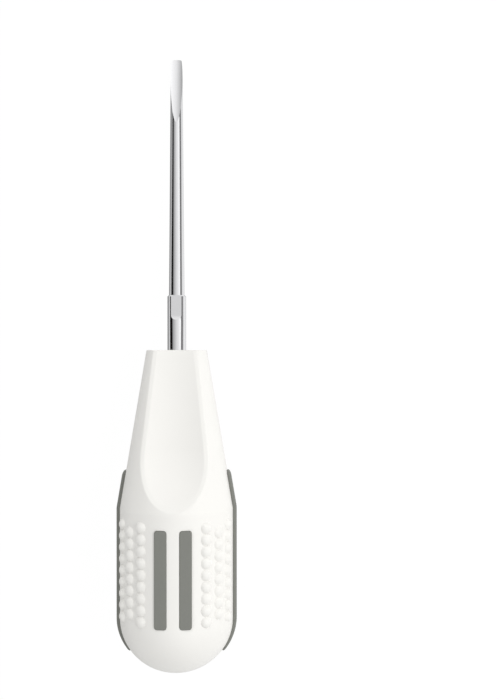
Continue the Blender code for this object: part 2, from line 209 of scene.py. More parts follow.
class Skin:
    """Collects patches of one closed surface and joins them where they meet."""

    def __init__(self):
        self.points = []
        self.faces = []
        self.count = 0

    def grid(self, rows):
        """Quads between neighbouring rows of an array of points."""
        rows = np.asarray(rows)
        down, across = rows.shape[:2]
        index = np.arange(down * across).reshape(down, across) + self.count
        corners = (index[:-1, :-1], index[:-1, 1:], index[1:, 1:], index[1:, :-1])
        self.faces.append(np.stack(corners, axis=-1).reshape(-1, 4))
        self.points.append(rows.reshape(-1, 3))
        self.count += down * across

    def mirrored(self, rows, hands=(1, -1), sides=(1, -1)):
        """The same patch on the right and left and on the front and back."""
        for hand in hands:
            for side in sides:
                self.grid(np.asarray(rows) * np.array([hand, side, 1]))

    def build(self, name, sharp_angle, merge=POINT_MERGE):
        """One smooth object of all the patches, with its sharper edges kept sharp."""
        mesh = bpy.data.meshes.new(name)
        points = world(np.concatenate(self.points))
        mesh.from_pydata(points.tolist(), [], np.concatenate(self.faces).tolist())
        bm = bmesh.new()
        bm.from_mesh(mesh)
        bmesh.ops.remove_doubles(bm, verts=bm.verts, dist=merge / MM_PER_METRE)
        bmesh.ops.recalc_face_normals(bm, faces=bm.faces)
        bm.to_mesh(mesh)
        bm.free()
        mesh.shade_smooth()
        mesh.set_sharp_from_angle(angle=radians(sharp_angle))
        item = bpy.data.objects.new(name, mesh)
        bpy.context.scene.collection.objects.link(item)
        return item


def radius_at(s):
    """Radius of the handle's turned outline."""
    slope = (GRIP_RADIUS - NECK_RADIUS) / CONE_LENGTH
    cone = NECK_RADIUS + slope * s
    bend = GRIP_RADIUS - slope * (CONE_LENGTH + CONE_BLEND - s) ** 2 / (4 * CONE_BLEND)
    part = np.clip((s - DOME_START) / DOME_LENGTH, 0.0, 1.0)
    dome = GRIP_RADIUS * np.sqrt(1.0 - part * part)
    result = np.where(s < CONE_LENGTH - CONE_BLEND, cone, bend)
    return np.where(s > CONE_LENGTH + CONE_BLEND, dome, result)


def slope_at(s):
    """Change of the outline's radius along the axis."""
    slope = (GRIP_RADIUS - NECK_RADIUS) / CONE_LENGTH
    bend = slope * (CONE_LENGTH + CONE_BLEND - s) / (2 * CONE_BLEND)
    part = np.clip((s - DOME_START) / DOME_LENGTH, 0.0, DOME_STEEPEST_PART)
    dome = -GRIP_RADIUS * part / DOME_LENGTH / np.sqrt(1.0 - part * part)
    result = np.where(s < CONE_LENGTH - CONE_BLEND, slope, bend)
    return np.where(s > CONE_LENGTH + CONE_BLEND, dome, result)


def surface(angle, s, height=0.0):
    """Point at an angle in degrees from the front, a height above the turned surface."""
    angle, s, height = np.broadcast_arrays(np.radians(angle), s, height)
    slope = slope_at(s)
    length = np.sqrt(1.0 + slope * slope)
    radius = radius_at(s) + height / length
    return np.stack(
        (radius * np.sin(angle), radius * np.cos(angle), s - height * slope / length), axis=-1
    )


def make_rows():
    """Places along the axis where the handle's lattice has its lines."""
    cone = np.linspace(NECK_EDGE, SCOOP_TURN, CONE_ROWS + 1)
    end = np.linspace(SCOOP_TURN, NUBS_TOP, round((NUBS_TOP - SCOOP_TURN) / ROW) + 1)
    grip = np.linspace(NUBS_TOP, DOME_START, NUB_COUNT * NUB_STEPS + 1)
    dome = DOME_START + DOME_LENGTH * np.sin(np.linspace(0.0, pi / 2, DOME_ROWS + 1))
    return np.concatenate((cone[:-1], end[:-1], grip[:-1], dome))


ROWS = make_rows()
BAR_CELL_BOTTOM = ROWS[BAR_DOME_ROWS - DOME_ROWS - 1]
STRIP_CELL_TOP = ROWS[CONE_ROWS + STRIP_CONE_ROWS]
STRIP_CELL_BOTTOM = ROWS[STRIP_DOME_ROWS - DOME_ROWS - 1]


def rows_between(low, high):
    """The lattice's places along the axis from one to another."""
    return ROWS[(ROWS > low - ROW_TOLERANCE) & (ROWS < high + ROW_TOLERANCE)]


def lattice(angles, rows):
    """Plain patch of the turned surface."""
    return surface(angles[None, :], rows[:, None])


def blend(first, second, steps):
    """Rows that lead from one line of points to another."""
    part = np.linspace(0.0, 1.0, steps + 1)[:, None, None]
    return first[None] * (1.0 - part) + second[None] * part


def rim_of_grid(across, along):
    """Points (across, along) around a rectangle of the lattice, from its first corner."""
    first = np.stack((across, np.full_like(across, along[0])), axis=-1)
    right = np.stack((np.full_like(along, across[-1]), along), axis=-1)
    last = np.stack((across[::-1], np.full_like(across, along[-1])), axis=-1)
    left = np.stack((np.full_like(along, across[0]), along[::-1]), axis=-1)
    return np.concatenate((first[:-1], right[:-1], last[:-1], left))


def rounded_side(half, corner, part):
    """Place along a rounded side and its distance inwards, for parts from 0 to 1."""
    straight = half - corner
    distance = (2 * part - 1.0) * (straight + corner * pi / 4)
    turn = np.maximum(np.abs(distance) - straight, 0.0) / corner
    along = np.sign(distance) * np.minimum(np.abs(distance), straight)
    return along + np.sign(distance) * corner * np.sin(turn), corner * (1.0 - np.cos(turn))


def rounded_rim(half_width, span, corner, steps, parts):
    """Points (across, along) around a rounded rectangle, which match rim_of_grid's."""
    middle = (span[0] + span[1]) / 2
    half_length = (span[1] - span[0]) / 2
    across, end_in = rounded_side(half_width, corner, np.linspace(0.0, 1.0, steps + 1))
    along, side_in = rounded_side(half_length, corner, parts)
    first = np.stack((across, span[0] + end_in), axis=-1)
    right = np.stack((half_width - side_in, middle + along), axis=-1)
    last = np.stack((across[::-1], span[1] - end_in[::-1]), axis=-1)
    left = np.stack((side_in[::-1] - half_width, middle + along[::-1]), axis=-1)
    return np.concatenate((first[:-1], right[:-1], last[:-1], left))


def fill(rim, steps, parts):
    """Grid that fills a closed rim, as rows along it of points across it."""
    long_steps = len(parts) - 1
    first = rim[: steps + 1]
    right = rim[steps : steps + long_steps + 1]
    last = rim[steps + long_steps : 2 * steps + long_steps + 1][::-1]
    left = rim[2 * steps + long_steps :][::-1]
    u = np.linspace(0.0, 1.0, steps + 1)[None, :, None]
    v = parts[:, None, None]
    sides = (1 - u) * left[:, None] + u * right[:, None]
    ends = (1 - v) * first[None] + v * last[None]
    corners = (1 - v) * ((1 - u) * first[0] + u * first[-1])
    corners = corners + v * ((1 - u) * last[0] + u * last[-1])
    return sides + ends - corners


def on_handle(center_angle, plan, height):
    """Plan points (across in millimetres, along) around an angle, set on the handle."""
    across = plan[..., 0]
    s = plan[..., 1]
    turn = np.degrees(np.arcsin(np.clip(across / radius_at(s), -1.0, 1.0)))
    return surface(center_angle + turn, s, height)


def scoop_side(s, inset):
    """Half width of the scoop where its sides are straight, moved inwards by an inset."""
    return SCOOP_NECK_HALF_WIDTH + SCOOP_SPREAD * s - inset


def scoop_part(s):
    """How far a place lies into the round end of the scoop's floor, from 0 to 1."""
    return np.maximum(s - SCOOP_TURN, 0.0) / (SCOOP_FLOOR_END - SCOOP_TURN)


def scoop_lip_drop(part):
    """Depth of the lip's inner edge below the turned surface."""
    return SCOOP_LIP_DROP + (SCOOP_END_LIP_DROP - SCOOP_LIP_DROP) * part ** 2


def scoop_floor(s):
    """Distance of the scoop's deepest line in front of the axis."""
    end = radius_at(SCOOP_FLOOR_END) - scoop_lip_drop(1.0)
    rise = end - SCOOP_NECK_FLOOR - SCOOP_FLOOR_SLOPE * SCOOP_FLOOR_END
    return SCOOP_NECK_FLOOR + SCOOP_FLOOR_SLOPE * s + rise * scoop_part(s) ** 2


def scoop_surface(x, s):
    """Distance of the scoop's hollow in front of the axis."""
    part = np.minimum(scoop_part(s), SCOOP_LAST_CURL)
    level = np.minimum(s, SCOOP_TURN + part * (SCOOP_FLOOR_END - SCOOP_TURN))
    half_width = scoop_side(level, SCOOP_LIP) * np.sqrt(1.0 - part ** 2)
    edge = np.sqrt(radius_at(level) ** 2 - half_width ** 2) - scoop_lip_drop(part)
    return scoop_floor(s) + (edge - scoop_floor(level)) * (x / half_width) ** 2


def scoop_end(turns, inset):
    """Plan points (x, s) on the scoop's round end, moved inwards by an inset."""
    s = SCOOP_TURN + (SCOOP_END - inset - SCOOP_TURN) * np.sin(turns)
    return np.stack((scoop_side(s, inset) * np.cos(turns), s), axis=-1)


def scoop_edges(straight, count):
    """Plan points on the lip's inner and outer edges, evenly spaced around the round end."""
    turns = np.linspace(0.0, pi / 2, CURVE_SAMPLES)
    steps = np.linalg.norm(np.diff(scoop_end(turns, 0.0), axis=0), axis=1)
    travel = np.concatenate(([0.0], np.cumsum(steps)))
    turns = np.interp(np.linspace(0.0, travel[-1], count), travel, turns)
    edges = []
    for inset in (SCOOP_LIP, 0.0):
        side = np.stack((scoop_side(straight, inset), straight), axis=-1)
        edges.append(np.concatenate((side, scoop_end(turns, inset))))
        edges[-1][-1, 0] = 0.0
    return edges


def step_from(start, end, length):
    """Points a length away from some points towards others."""
    way = end - start
    return start + length * way / np.linalg.norm(way, axis=1)[:, None]


def rounded_corner(start, corner, end):
    """Rows that round a corner, without its first and last row."""
    t = np.linspace(0.0, 1.0, EDGE_STEPS + 1)[1:-1, None, None]
    return (1 - t) ** 2 * start + 2 * t * (1 - t) * corner + t ** 2 * end


def scoop_patch():
    """Right half of the cone's front: lines from the scoop's middle over its lip to the sides.

    Returns the points line by line, with the first line at the neck.
    """
    side_rows = rows_between(NECK_EDGE, NUBS_TOP)
    angles = quarter_angles()[::-1]
    border = np.concatenate((
        np.stack((np.full_like(side_rows, STRIP_EDGE_ANGLE), side_rows), axis=-1),
        np.stack((angles, np.full_like(angles, NUBS_TOP)), axis=-1)[1:],
    ))
    inner, outer = scoop_edges(side_rows[:CONE_ROWS], len(border) - CONE_ROWS)
    spine = np.stack((np.zeros(len(inner)), inner[:, 1]), axis=-1)
    spine[:, 1] -= SCOOP_FAN * np.maximum(inner[:, 1] - SCOOP_TURN, 0.0)

    def on_floor(plan):
        return np.stack((plan[..., 0], scoop_surface(plan[..., 0], plan[..., 1]), plan[..., 1]), -1)

    floor = on_floor(blend(spine, step_from(inner, spine, SCOOP_EDGE), FLOOR_STEPS))
    inner_edge = on_floor(inner)
    depth = np.sqrt(radius_at(outer[:, 1]) ** 2 - outer[:, 0] ** 2)
    outer_edge = np.stack((outer[:, 0], depth, outer[:, 1]), axis=-1)
    lip_start = step_from(inner_edge, outer_edge, SCOOP_EDGE)
    lip_end = step_from(outer_edge, inner_edge, SCOOP_EDGE)
    leave = 2 * outer - step_from(outer, inner, SCOOP_EDGE)
    leave[:, 0] = np.degrees(np.arcsin(leave[:, 0] / radius_at(leave[:, 1])))
    flank = blend(leave, border, FLANK_STEPS)
    flank = surface(flank[..., 0], flank[..., 1])
    return np.concatenate((
        floor,
        rounded_corner(floor[-1], inner_edge, lip_start),
        blend(lip_start, lip_end, LIP_STEPS),
        rounded_corner(lip_end, outer_edge, flank[0]),
        flank,
    )).transpose(1, 0, 2)


def quarter_angles():
    """Angles of the lattice's lines from the front's middle to the side strip's cell."""
    bars = np.linspace(0.0, BAR_EDGE_ANGLE, BAR_STEPS + 1)
    nubs = np.linspace(BAR_EDGE_ANGLE, STRIP_EDGE_ANGLE, len(NUB_COLUMNS) * NUB_STEPS + 1)
    return np.concatenate((bars, nubs[1:]))


def nub_height(distance):
    """Height of a nub above the grip, at a distance from its middle."""
    return np.sqrt(NUB_RADIUS ** 2 - distance ** 2) - NUB_SUNK


def nub_cell(center_angle, middle, ends):
    """One nub with the square of grip around it, as rings from the square's rim inwards.

    A nub is cut straight where it runs into the next one of its column, and squeezed to fit
    its square on the sides named in ends, -1 towards the neck and 1 towards the dome.
    """
    across = np.linspace(-1.0, 1.0, NUB_STEPS + 1) * np.radians(NUB_HALF_CELL) * GRIP_RADIUS
    along = np.linspace(-1.0, 1.0, NUB_STEPS + 1) * NUB_PITCH / 2
    rim = rim_of_grid(across, along)
    far = np.linalg.norm(rim, axis=1)
    base = np.sqrt(NUB_RADIUS ** 2 - NUB_SUNK ** 2)
    squeeze = np.where(np.isin(np.sign(rim[:, 1]), ends), NUB_END_SQUEEZE, 1.0)
    foot = base * far / np.hypot(rim[:, 0], rim[:, 1] / squeeze)
    reach = np.minimum(foot, far)
    edge = base * reach / foot
    lift = np.linspace(np.arcsin(NUB_SUNK / NUB_RADIUS), pi / 2, NUB_RINGS + 1)
    parts = np.cos(lift) / np.cos(lift[0])
    parts[-1] = 0.0
    nub = (rim * (reach / far)[:, None])[None] * parts[:, None, None]
    grip = blend(rim, nub[0], NUB_SKIRT_STEPS)[:-1]
    plan = np.concatenate((grip, nub))
    grip_height = np.tile(nub_height(edge), (NUB_SKIRT_STEPS, 1))
    height = np.concatenate((grip_height, nub_height(edge * parts[:, None])))
    return surface(
        center_angle + np.degrees(plan[..., 0] / GRIP_RADIUS), middle + plan[..., 1], height
    )


def pocket_cell(angles, rows, center_angle, half_width, span, corner):
    """Patch of handle with a pocket for an inlay: its rim, walls and floor."""
    parts = (rows - rows[0]) / (rows[-1] - rows[0])
    steps = len(angles) - 1

    def outline(grow):
        reach = (span[0] - grow, span[1] + grow)
        return rounded_rim(half_width + grow, reach, corner + grow, steps, parts)

    def on_plan(plan, height):
        return on_handle(center_angle, plan, height)

    edge = outline(POCKET_GAP + POCKET_EDGE)
    edge_turn = np.degrees(np.arcsin(edge[:, 0] / radius_at(edge[:, 1])))
    edge_plan = np.stack((center_angle + edge_turn, edge[:, 1]), axis=-1)
    skirt = blend(rim_of_grid(angles, rows), edge_plan, POCKET_SKIRT_STEPS)
    rings = [surface(ring[:, 0], ring[:, 1]) for ring in skirt]
    for turn in np.linspace(0.0, pi / 2, POCKET_EDGE_STEPS + 1)[1:]:
        grow = POCKET_GAP + POCKET_EDGE * (1.0 - np.sin(turn))
        rings.append(on_plan(outline(grow), -POCKET_EDGE * (1.0 - np.cos(turn))))
    wall = outline(POCKET_GAP)
    rings.append(on_plan(wall, -POCKET_DEPTH))
    return np.array(rings), on_plan(fill(wall, steps, parts), -POCKET_DEPTH)


def neck_patch(line, out):
    """Rounded edge of the neck, its end face and the blade's socket, below one line of points."""
    rings = []
    for turn in np.linspace(0.0, pi / 2, NECK_EDGE_STEPS + 1):
        ring = line.copy()
        ring[:, :2] -= out * NECK_EDGE * (1.0 - np.cos(turn))
        ring[:, 2] = NECK_EDGE * (1.0 - np.sin(turn))
        rings.append(ring)
    direction = ring[:, :2] / np.linalg.norm(ring[:, :2], axis=1)[:, None]
    mouth = np.concatenate((direction * (COLLAR_RADIUS + SOCKET_GAP), ring[:, 2:]), axis=1)
    rings += list(blend(ring, mouth, NECK_STEPS)[1:])
    bottom = mouth + np.array([0.0, 0.0, TANG_LENGTH + SOCKET_GAP])
    rings += list(blend(mouth, bottom, NECK_STEPS)[1:])
    rings.append(bottom * np.array([0.0, 0.0, 1.0]))
    return np.array(rings)


def plan_out(line):
    """Directions across a line of neck points, away from the handle's body."""
    along = np.gradient(line[:, :2], axis=0)
    out = np.stack((-along[:, 1], along[:, 0]), axis=-1)
    out[0] = (0.0, 1.0)
    out[-1] = line[-1, :2]
    return out / np.linalg.norm(out, axis=1)[:, None]


def add_cone_faces(skin):
    """The cone's front and back with their thumb scoops, down into the blade's socket."""
    scoop = scoop_patch()
    skin.mirrored(scoop)
    neck_line = scoop[0]
    skin.mirrored(neck_patch(neck_line, plan_out(neck_line)))


def add_bar_pockets(skin, bar_angles):
    """The middle of the grip's front and back, with a pocket for each bar."""
    bar_rows = rows_between(NUBS_TOP, BAR_CELL_BOTTOM)
    pocket, floor = pocket_cell(
        bar_angles, bar_rows, BAR_ANGLE, BAR_HALF_WIDTH, BAR_SPAN, BAR_CORNER
    )
    skin.mirrored(pocket)
    skin.mirrored(floor)


def add_nubs(skin, nub_angles):
    """The columns of nubs, each second one a nub shorter and staggered by half a pitch."""
    for index, angle in enumerate(NUB_COLUMNS):
        staggered = index % 2
        first = NUB_FIRST + staggered * NUB_PITCH / 2
        count = NUB_COUNT - staggered
        for place in range(count):
            ends = [-1] * (place == 0) + [1] * (place == count - 1)
            skin.mirrored(nub_cell(angle, first + place * NUB_PITCH, ends))
        column = nub_angles[index * NUB_STEPS : (index + 1) * NUB_STEPS + 1]
        if staggered:
            skin.mirrored(lattice(column, rows_between(NUBS_TOP, first - NUB_PITCH / 2)))
            skin.mirrored(lattice(column, rows_between(DOME_START - NUB_PITCH / 2, DOME_START)))


def add_sides(skin):
    """The handle's sides from neck to dome, each with a pocket for its strip."""
    strip_angles = np.linspace(STRIP_EDGE_ANGLE, 180.0 - STRIP_EDGE_ANGLE, STRIP_STEPS + 1)
    above = lattice(strip_angles, rows_between(NECK_EDGE, STRIP_CELL_TOP))
    skin.mirrored(above, sides=(1,))
    radial = above[0, :, :2] / np.linalg.norm(above[0, :, :2], axis=1)[:, None]
    skin.mirrored(neck_patch(above[0], radial), sides=(1,))
    strip_rows = rows_between(STRIP_CELL_TOP, STRIP_CELL_BOTTOM)
    pocket, floor = pocket_cell(
        strip_angles, strip_rows, 90.0, STRIP_HALF_WIDTH, STRIP_SPAN, STRIP_CORNER
    )
    skin.mirrored(pocket, sides=(1,))
    skin.mirrored(floor, sides=(1,))
    skin.mirrored(lattice(strip_angles, rows_between(STRIP_CELL_BOTTOM, ROWS[-1])), sides=(1,))


def make_handle():
    """The whole handle as one closed surface, from patches that share the lattice's lines."""
    quarter = quarter_angles()
    bar_angles = quarter[: BAR_STEPS + 1]
    nub_angles = quarter[BAR_STEPS:]
    skin = Skin()
    add_cone_faces(skin)
    add_bar_pockets(skin, bar_angles)
    add_nubs(skin, nub_angles)
    skin.mirrored(lattice(bar_angles, rows_between(BAR_CELL_BOTTOM, ROWS[-1])))
    skin.mirrored(lattice(nub_angles, rows_between(DOME_START, ROWS[-1])))
    add_sides(skin)
    return skin.build("handle_shell", HANDLE_SHARP_ANGLE)


def make_inlay(name, angle, half_width, span, corner, edge, on_top):
    """Soft inlay with rounded upper edges; on_top gives its top, sunk by a depth."""
    parts = np.linspace(0.0, 1.0, round((span[1] - span[0]) / ROW) + 1)

    def outline(inset):
        reach = (span[0] + inset, span[1] - inset)
        return rounded_rim(half_width - inset, reach, corner - inset, INLAY_STEPS, parts)

    bottom = outline(0.0)
    rings = [on_handle(angle, bottom, -INLAY_DEPTH), on_handle(angle, bottom, -POCKET_EDGE)]
    for turn in np.linspace(0.0, pi / 2, INLAY_EDGE_STEPS + 1):
        rings.append(on_top(outline(edge * (1.0 - np.cos(turn))), edge * (1.0 - np.sin(turn))))
    skin = Skin()
    skin.grid(np.array(rings))
    skin.grid(on_top(fill(outline(edge), INLAY_STEPS, parts), 0.0))
    skin.grid(on_handle(angle, fill(bottom, INLAY_STEPS, parts), -INLAY_DEPTH))
    return skin.build(name, INLAY_SHARP_ANGLE)


def bar_top(side, hand):
    """Flat top of a bar, which leans a little away from the middle of its face."""
    turn = np.radians(side + hand * BAR_ANGLE)
    lean = np.radians(side + hand * BAR_LEAN)
    middle = GRIP_RADIUS * np.array([np.sin(turn), np.cos(turn), 0.0])
    across = np.array([np.cos(lean), -np.sin(lean), 0.0])
    out = np.array([np.sin(lean), np.cos(lean), 0.0])

    def on_top(plan, sunk):
        along = plan[..., 1:] * np.array([0.0, 0.0, 1.0])
        return middle + plan[..., :1] * across + along + (BAR_PROUD - sunk) * out

    return on_top


def strip_top(angle):
    """Top of a side strip, which follows the handle and sinks towards it at its upper end."""

    def on_top(plan, sunk):
        s = plan[..., 1]
        part = np.maximum(s - DOME_START, 0.0) / (STRIP_SPAN[1] - DOME_START)
        proud = STRIP_PROUD + (STRIP_END_PROUD - STRIP_PROUD) * part ** 2
        short = np.clip(1.0 - (s - STRIP_SPAN[0]) / STRIP_END_ROUND, 0.0, 1.0)
        drop = STRIP_END_DROP * short ** 2
        return on_handle(angle, plan, np.maximum(proud - drop - sunk, -POCKET_EDGE))

    return on_top


def make_bar(name, side, hand):
    """One bar of the grip's front or back."""
    return make_inlay(
        name,
        side + hand * BAR_ANGLE,
        BAR_HALF_WIDTH,
        BAR_SPAN,
        BAR_CORNER,
        BAR_EDGE,
        bar_top(side, hand),
    )


def make_strip(name, angle):
    """One strip along the handle's side."""
    return make_inlay(
        name,
        angle,
        STRIP_HALF_WIDTH,
        STRIP_SPAN,
        STRIP_CORNER,
        STRIP_EDGE,
        strip_top(angle),
    )


def make_inlays():
    """All soft inlays, by the node that each stands for."""
    bars = {
        "front_inlay_left": (0.0, -1),
        "front_inlay_right": (0.0, 1),
        "back_inlay_left": (180.0, 1),
        "back_inlay_right": (180.0, -1),
    }
    strips = {"side_strip_left": -90.0, "side_strip_right": 90.0}
    pieces = {node: make_bar(node + "_pad", *place) for node, place in bars.items()}
    for node, angle in strips.items():
        pieces[node] = make_strip(node + "_pad", angle)
    return pieces


def hollow_center(z):
    """Front-to-back place of the grinding cut's middle in the plane across the blade at z."""
    slope = (TIP_FLOOR - shaft_radius(HOLLOW_START)) / (TIP_TOP - HOLLOW_START)
    floor = shaft_radius(HOLLOW_START) + slope * (z - HOLLOW_START)
    tall = HOLLOW_RADIUS * np.sqrt(1.0 + slope * slope)
    return floor + tall, tall


def shaft_radius(z):
    """Radius of the round shaft and blade above the collar."""
    heights = (COLLAR_LENGTH, SHAFT_TOP, TIP_START)
    radius = np.interp(z, heights, (SHAFT_ROOT_RADIUS, SHAFT_END_RADIUS, TIP_RADIUS))
    past = max(0.0, z - heights[-1])
    return radius - TIP_ROUND + np.sqrt(max(0.0, TIP_ROUND ** 2 - past ** 2))


def hollow_cut(x, center, tall):
    """Front-to-back place of the grinding cut, whose middle lies a little to the right."""
    return center - tall * np.sqrt(1.0 - ((x - HOLLOW_SHIFT) / HOLLOW_RADIUS) ** 2)


def hollow_edge(z, radius, hand):
    """Angle from the front at which the grinding cut meets the blade's round back."""
    center, tall = hollow_center(z)
    low, high = 0.0, pi
    for _ in range(EDGE_HALVINGS):
        turn = (low + high) / 2
        if radius * np.cos(turn) > hollow_cut(hand * radius * np.sin(turn), center, tall):
            low = turn
        else:
            high = turn
    return low


def flat_level(z):
    """Height of the collar's milled flats above the axis, with their round run-out."""
    past = np.maximum(FLAT_END - z, 0.0)
    return FLAT_HEIGHT + FLAT_RUNOUT_RADIUS - np.sqrt(FLAT_RUNOUT_RADIUS ** 2 - past ** 2)


def steel_ring(z, radius, front=(0.0, 0.0), back=0.0, front_cut=None, back_cut=None):
    """Ring of blade points at a height, where its flats or hollow replace the round.

    The front's face is given by its angles to the left and to the right, and the back's by
    half its angle. A cut gives the face's front-to-back place at each x.
    """
    face = np.linspace(-1.0, 1.0, FACE_STEPS + 1)
    turns = np.concatenate((
        np.linspace(-front[0], front[1], FACE_STEPS + 1),
        np.linspace(front[1], pi - back, SIDE_STEPS + 1)[1:],
        (pi + face * back)[1:],
        np.linspace(pi + back, 2 * pi - front[0], SIDE_STEPS + 1)[1:],
    ))
    x = radius * np.sin(turns)
    q = radius * np.cos(turns)
    if front_cut:
        x[: FACE_STEPS + 1] = np.linspace(x[0], x[FACE_STEPS], FACE_STEPS + 1)
        q[1:FACE_STEPS] = front_cut(x[1:FACE_STEPS])
    if back_cut:
        start = FACE_STEPS + SIDE_STEPS
        x[start : start + FACE_STEPS + 1] = -face * radius * np.sin(back)
        q[start + 1 : start + FACE_STEPS] = back_cut(x[start + 1 : start + FACE_STEPS])
    return np.stack((x, q, np.full_like(x, -z)), axis=-1)


def collar_rings():
    """Rings up the tang and collar, with a milled flat on the front and on the back.

    Also returns half the flats' angle at the collar's top.
    """
    runout_fall = FLAT_RUNOUT_RADIUS - COLLAR_RADIUS + FLAT_HEIGHT
    runout = np.sqrt(FLAT_RUNOUT_RADIUS ** 2 - runout_fall ** 2)
    flat_foot = FLAT_END - runout
    rings = [
        steel_ring(-TANG_LENGTH, 0.0),
        steel_ring(-TANG_LENGTH, COLLAR_RADIUS - COLLAR_CHAMFER),
    ]
    for z in (-TANG_LENGTH + COLLAR_CHAMFER, *TANG_RINGS, flat_foot):
        rings.append(steel_ring(z, COLLAR_RADIUS))
    heights = list(flat_foot + runout * np.linspace(0.0, 1.0, RUNOUT_RINGS + 1)[1:] ** 2)
    heights += [*COLLAR_RINGS, COLLAR_LENGTH - COLLAR_CHAMFER, COLLAR_LENGTH]
    for z in heights:
        radius = min(COLLAR_RADIUS, COLLAR_RADIUS - COLLAR_CHAMFER - z + COLLAR_LENGTH)
        level = flat_level(z)
        turn = np.arccos(min(1.0, level / radius))
        rings.append(steel_ring(
            z, radius, (turn, turn), turn,
            lambda x, q=level: np.full_like(x, q),
            lambda x, q=level: np.full_like(x, -q),
        ))
    return rings, turn


def tip_end():
    """Greatest height at which the grinding cut still leaves steel in front of the back."""
    z = TIP_START + TIP_ROUND
    center, tall = hollow_center(z)
    while shaft_radius(z) <= tall - center:
        z -= TIP_SEARCH_STEP
        center, tall = hollow_center(z)
    return z


def blade_rings(turn):
    """Rings up the shaft to the hollow's start, and then up the hollow-ground tip.

    The points of the collar's flats, which span twice the angle turn, run on up the blade.
    """
    rings = []
    for z in np.linspace(COLLAR_LENGTH, HOLLOW_START, SHAFT_RINGS):
        part = (z - COLLAR_LENGTH) / (HOLLOW_START - COLLAR_LENGTH)
        front = turn * (1.0 - part)
        rings.append(steel_ring(z, shaft_radius(z), (front, front), turn))
    rise = np.linspace(0.0, 1.0, HOLLOW_RINGS + 1)[1:] ** HOLLOW_CROWDING
    heights = list(HOLLOW_START + (TIP_START - HOLLOW_START) * rise)
    rise = np.sin(np.linspace(0.0, pi / 2, TIP_RINGS + 1)[1:])
    heights += list(TIP_START + (tip_end() - TIP_START) * rise)
    for z in heights:
        radius = shaft_radius(z)
        center, tall = hollow_center(z)
        edges = [hollow_edge(z, radius, hand) for hand in (-1, 1)]
        rings.append(steel_ring(
            z, radius, edges, min(turn, pi - max(edges)),
            lambda x, c=center, t=tall: hollow_cut(x, c, t),
        ))
    tip = rings[-1].mean(axis=0)
    rings.append(np.repeat(tip[None], len(rings[-1]), axis=0))
    return rings


def make_blade():
    """The blade from its tang to its tip, as one closed surface."""
    skin = Skin()
    lower, turn = collar_rings()
    skin.grid(np.array(lower + blade_rings(turn)))
    return skin.build("blade_steel_piece", BLADE_SHARP_ANGLE, BLADE_MERGE)


# Looks, with roughness from 0 to 1 and bump depths in metres
PLASTIC_COLOR = (0.87, 0.86, 0.828)
RUBBER_COLOR = (0.203, 0.207, 0.187)
STEEL_COLOR = (0.76, 0.76, 0.77)
NOISE_LOW = 0.3
NOISE_HIGH = 0.7


class Nodes:
    """Builds one material's node tree around its shader."""

    def __init__(self, name):
        self.material = bpy.data.materials.new(name)
        self.material.use_nodes = True
        self.tree = self.material.node_tree
        self.shader = self.tree.nodes["Principled BSDF"]
        self.place = self.tree.nodes.new("ShaderNodeTexCoord").outputs["Object"]

    def add(self, kind, **inputs):
        """New node, with its inputs set to values or linked to sockets."""
        node = self.tree.nodes.new("ShaderNode" + kind)
        for name, value in inputs.items():
            socket = node.inputs[name.replace("_", " ")]
            if isinstance(value, bpy.types.NodeSocket):
                self.tree.links.new(value, socket)
            else:
                socket.default_value = value
        return node

    def noise(self, scale, detail=2.0, stretch=(1.0, 1.0, 1.0)):
        """Noise with features of about 1 / scale metres, stretched along the instrument's axes."""
        turn = Matrix((RIGHT, FRONT, DOWN)).to_euler()
        spread = self.add("Mapping", Vector=self.place, Rotation=turn, Scale=stretch)
        node = self.add("TexNoise", Vector=spread.outputs["Vector"], Scale=scale, Detail=detail)
        return node.outputs["Fac"]

    def between(self, factor, low, high):
        """Value that runs from low to high where a noise runs over its usual range."""
        limits = {"From_Min": NOISE_LOW, "From_Max": NOISE_HIGH, "To_Min": low, "To_Max": high}
        return self.add("MapRange", Value=factor, **limits).outputs["Result"]

    def tint(self, factor, color, spread):
        """Colour that a noise makes darker and lighter by a share of itself."""
        node = self.tree.nodes.new("ShaderNodeMix")
        node.data_type = "RGBA"
        colors = [socket for socket in node.inputs if socket.type == "RGBA"]
        colors[0].default_value = (*((1.0 - spread) * part for part in color), 1.0)
        colors[1].default_value = (*((1.0 + spread) * part for part in color), 1.0)
        self.tree.links.new(factor, node.inputs["Factor"])
        result = [socket for socket in node.outputs if socket.type == "RGBA"][0]
        self.tree.links.new(result, self.shader.inputs["Base Color"])

    def bump(self, height, depth):
        """Fine relief of a depth."""
        node = self.add("Bump", Height=height, Distance=depth, Strength=1.0)
        self.tree.links.new(node.outputs["Normal"], self.shader.inputs["Normal"])

    def rough(self, factor, low, high):
        """Roughness that a noise moves between two values."""
        self.tree.links.new(self.between(factor, low, high), self.shader.inputs["Roughness"])


def plastic_look():
    """Satin warm white moulding with the faint grain of an etched mould."""
    look = Nodes("handle_plastic_look")
    look.tint(look.noise(scale=160.0), PLASTIC_COLOR, spread=0.008)
    look.rough(look.noise(scale=900.0), low=0.42, high=0.5)
    look.bump(look.noise(scale=5200.0), depth=0.000004)
    return look.material


def rubber_look():
    """Matt soft elastomer with a fine grain."""
    look = Nodes("grip_rubber_look")
    look.tint(look.noise(scale=700.0), RUBBER_COLOR, spread=0.03)
    look.rough(look.noise(scale=1500.0), low=0.6, high=0.7)
    look.bump(look.noise(scale=6000.0, detail=3.0), depth=0.000012)
    return look.material


def steel_look():
    """Polished stainless steel with the faint rings of turning and polishing."""
    look = Nodes("blade_steel_look")
    rings = look.noise(scale=9000.0, stretch=(0.03, 0.03, 1.0))
    look.tint(look.noise(scale=500.0), STEEL_COLOR, spread=0.015)
    look.rough(rings, low=0.09, high=0.13)
    look.bump(rings, depth=0.0000006)
    look.shader.inputs["Metallic"].default_value = 1.0
    return look.material


